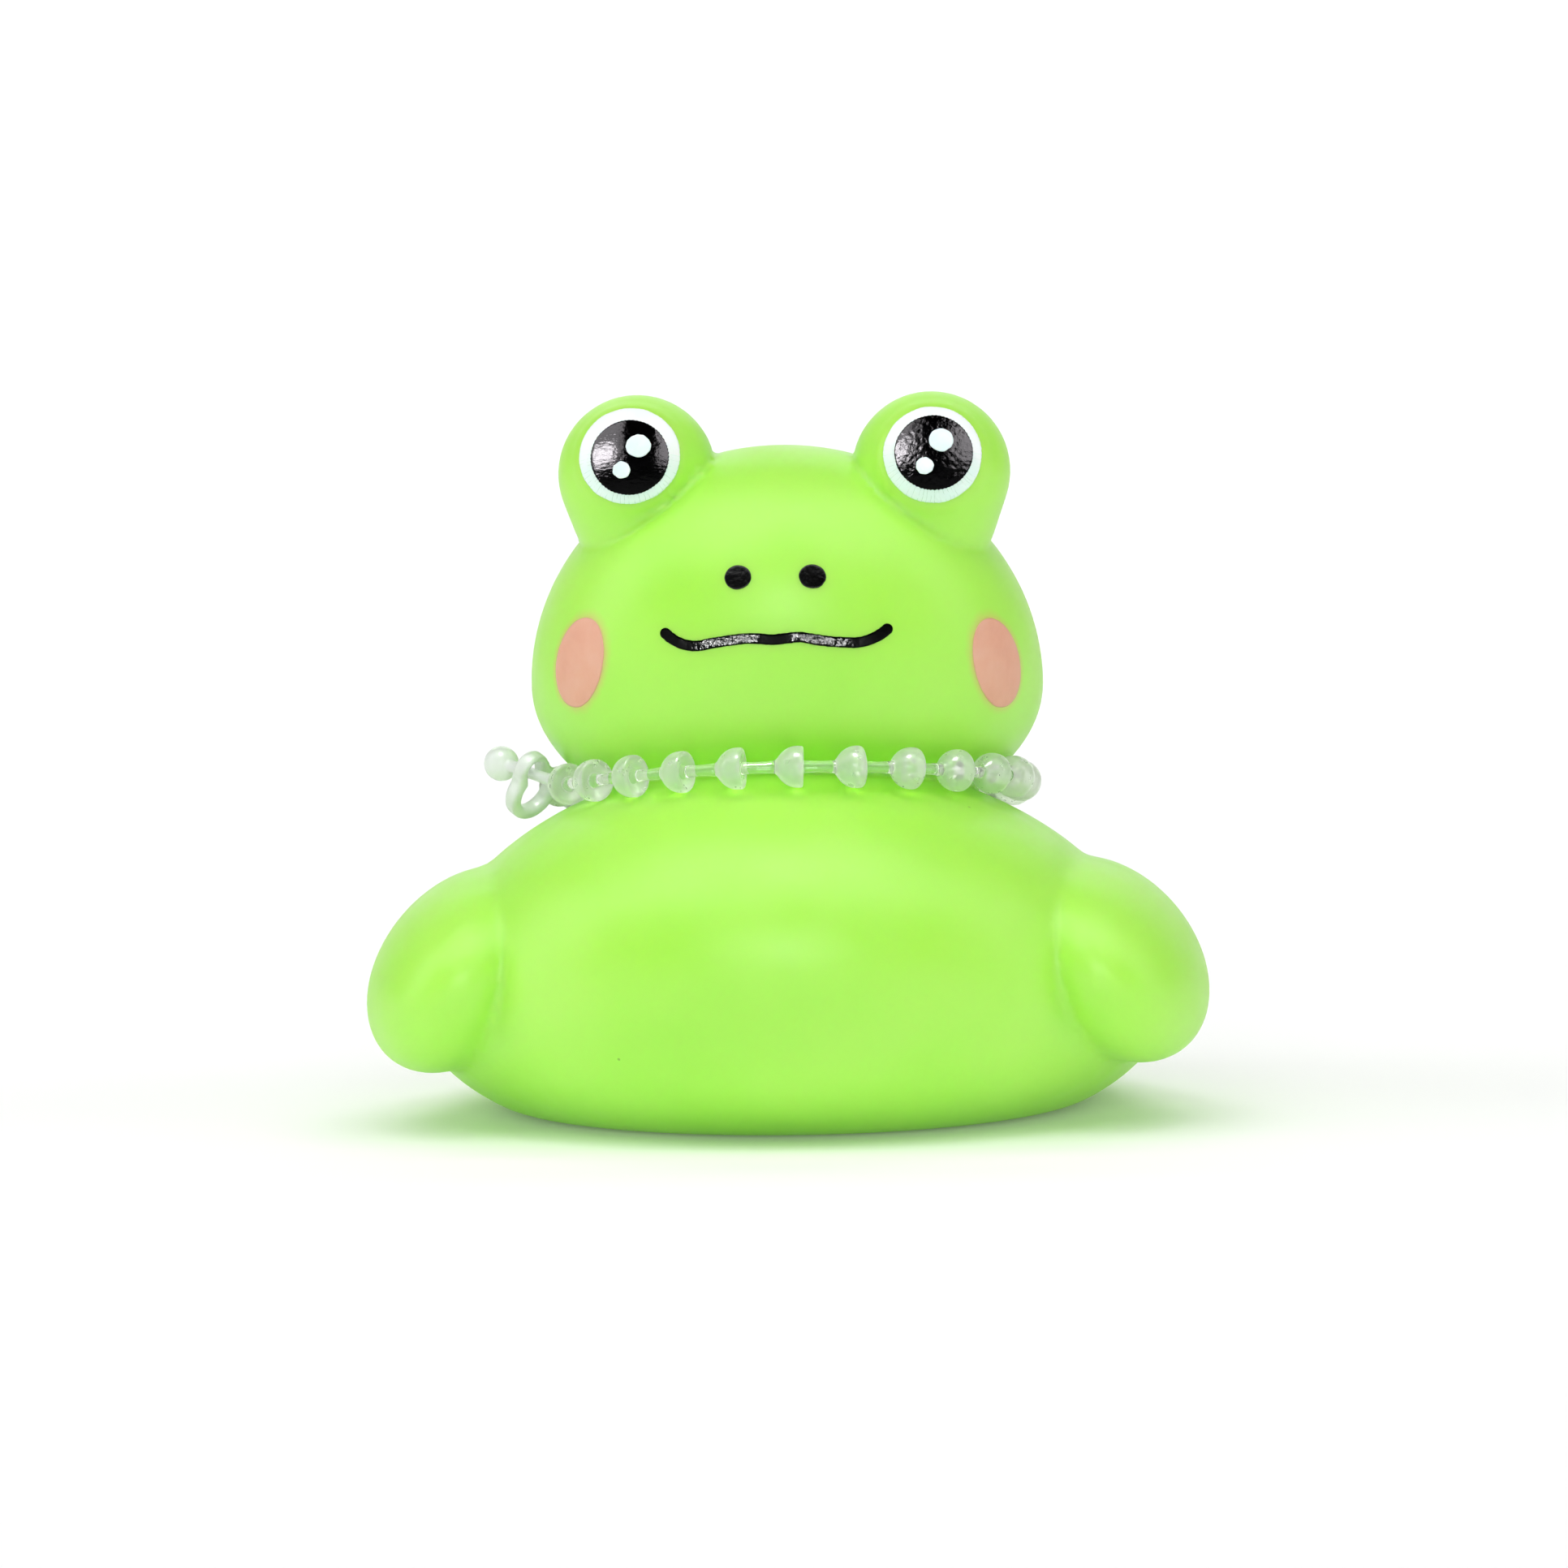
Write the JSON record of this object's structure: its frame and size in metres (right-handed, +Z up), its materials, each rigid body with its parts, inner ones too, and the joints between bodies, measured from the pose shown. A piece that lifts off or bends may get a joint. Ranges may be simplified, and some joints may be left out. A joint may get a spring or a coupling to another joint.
{
  "type": "squeaky bath toy",
  "caption": "Hollow soft-vinyl frog bath toy with a reed squeaker in its base and a frosted bead chain locked round its neck.",
  "frame": {"origin": "on the resting plane, under the middle of the object's box", "axes": "+Z up, the face looks along -Y, +X is the frog's left side (the right of the front view)"},
  "size_m": [0.0792, 0.07, 0.0683],
  "materials": {
    "vinyl": "satin soft vinyl, slightly translucent",
    "frosted_plastic": "frosted clear plastic",
    "squeaker_plastic": "natural moulded plastic",
    "bed_plastic": "moulded plastic",
    "reed_film": "thin springy film",
    "white_paint": "gloss enamel",
    "black_paint": "gloss enamel with a fine wrinkle",
    "cheek_paint": "sprayed matt paint"
  },
  "bodies": {
    "shell": {"body_shell": "vinyl", "squeaker_housing": "squeaker_plastic", "reed_carrier": "squeaker_plastic", "reed_bed": "bed_plastic", "reed_heel": "reed_film", "reed_wedge": "squeaker_plastic", "squeaker_cap": "squeaker_plastic", "left_eye_white": "white_paint", "right_eye_white": "white_paint", "left_pupil": "black_paint", "right_pupil": "black_paint", "left_catchlights": "white_paint", "right_catchlights": "white_paint", "left_nostril": "black_paint", "right_nostril": "black_paint", "mouth_line": "black_paint", "left_cheek": "cheek_paint", "right_cheek": "cheek_paint"},
    "chain": {"bead_chain": "frosted_plastic", "chain_eyelet": "frosted_plastic"},
    "tail": {"chain_tail": "frosted_plastic"},
    "reed": {"reed_tongue": "reed_film"}
  },
  "joints": [
    {"name": "chain_turn", "type": "hinge", "parent": "shell", "child": "chain", "pos_m": [0, -0.00072, 0.0311], "axis": [0, 0.165, 0.9863], "continuous": true},
    {"name": "tail_flex", "type": "hinge", "parent": "chain", "child": "tail", "pos_m": [-0.02027, -0.00916, 0.03251], "axis": [-0.7242, -0.5454, -0.422], "range_deg": [-1, 14], "stiffness_Nm_per_rad": 0.0002},
    {"name": "reed_flex", "type": "hinge", "parent": "shell", "child": "reed", "pos_m": [0, 0.00415, 0.0064], "axis": [1, 0, 0], "range_deg": [-2.2, 6], "stiffness_Nm_per_rad": 0.0003}
  ]
}
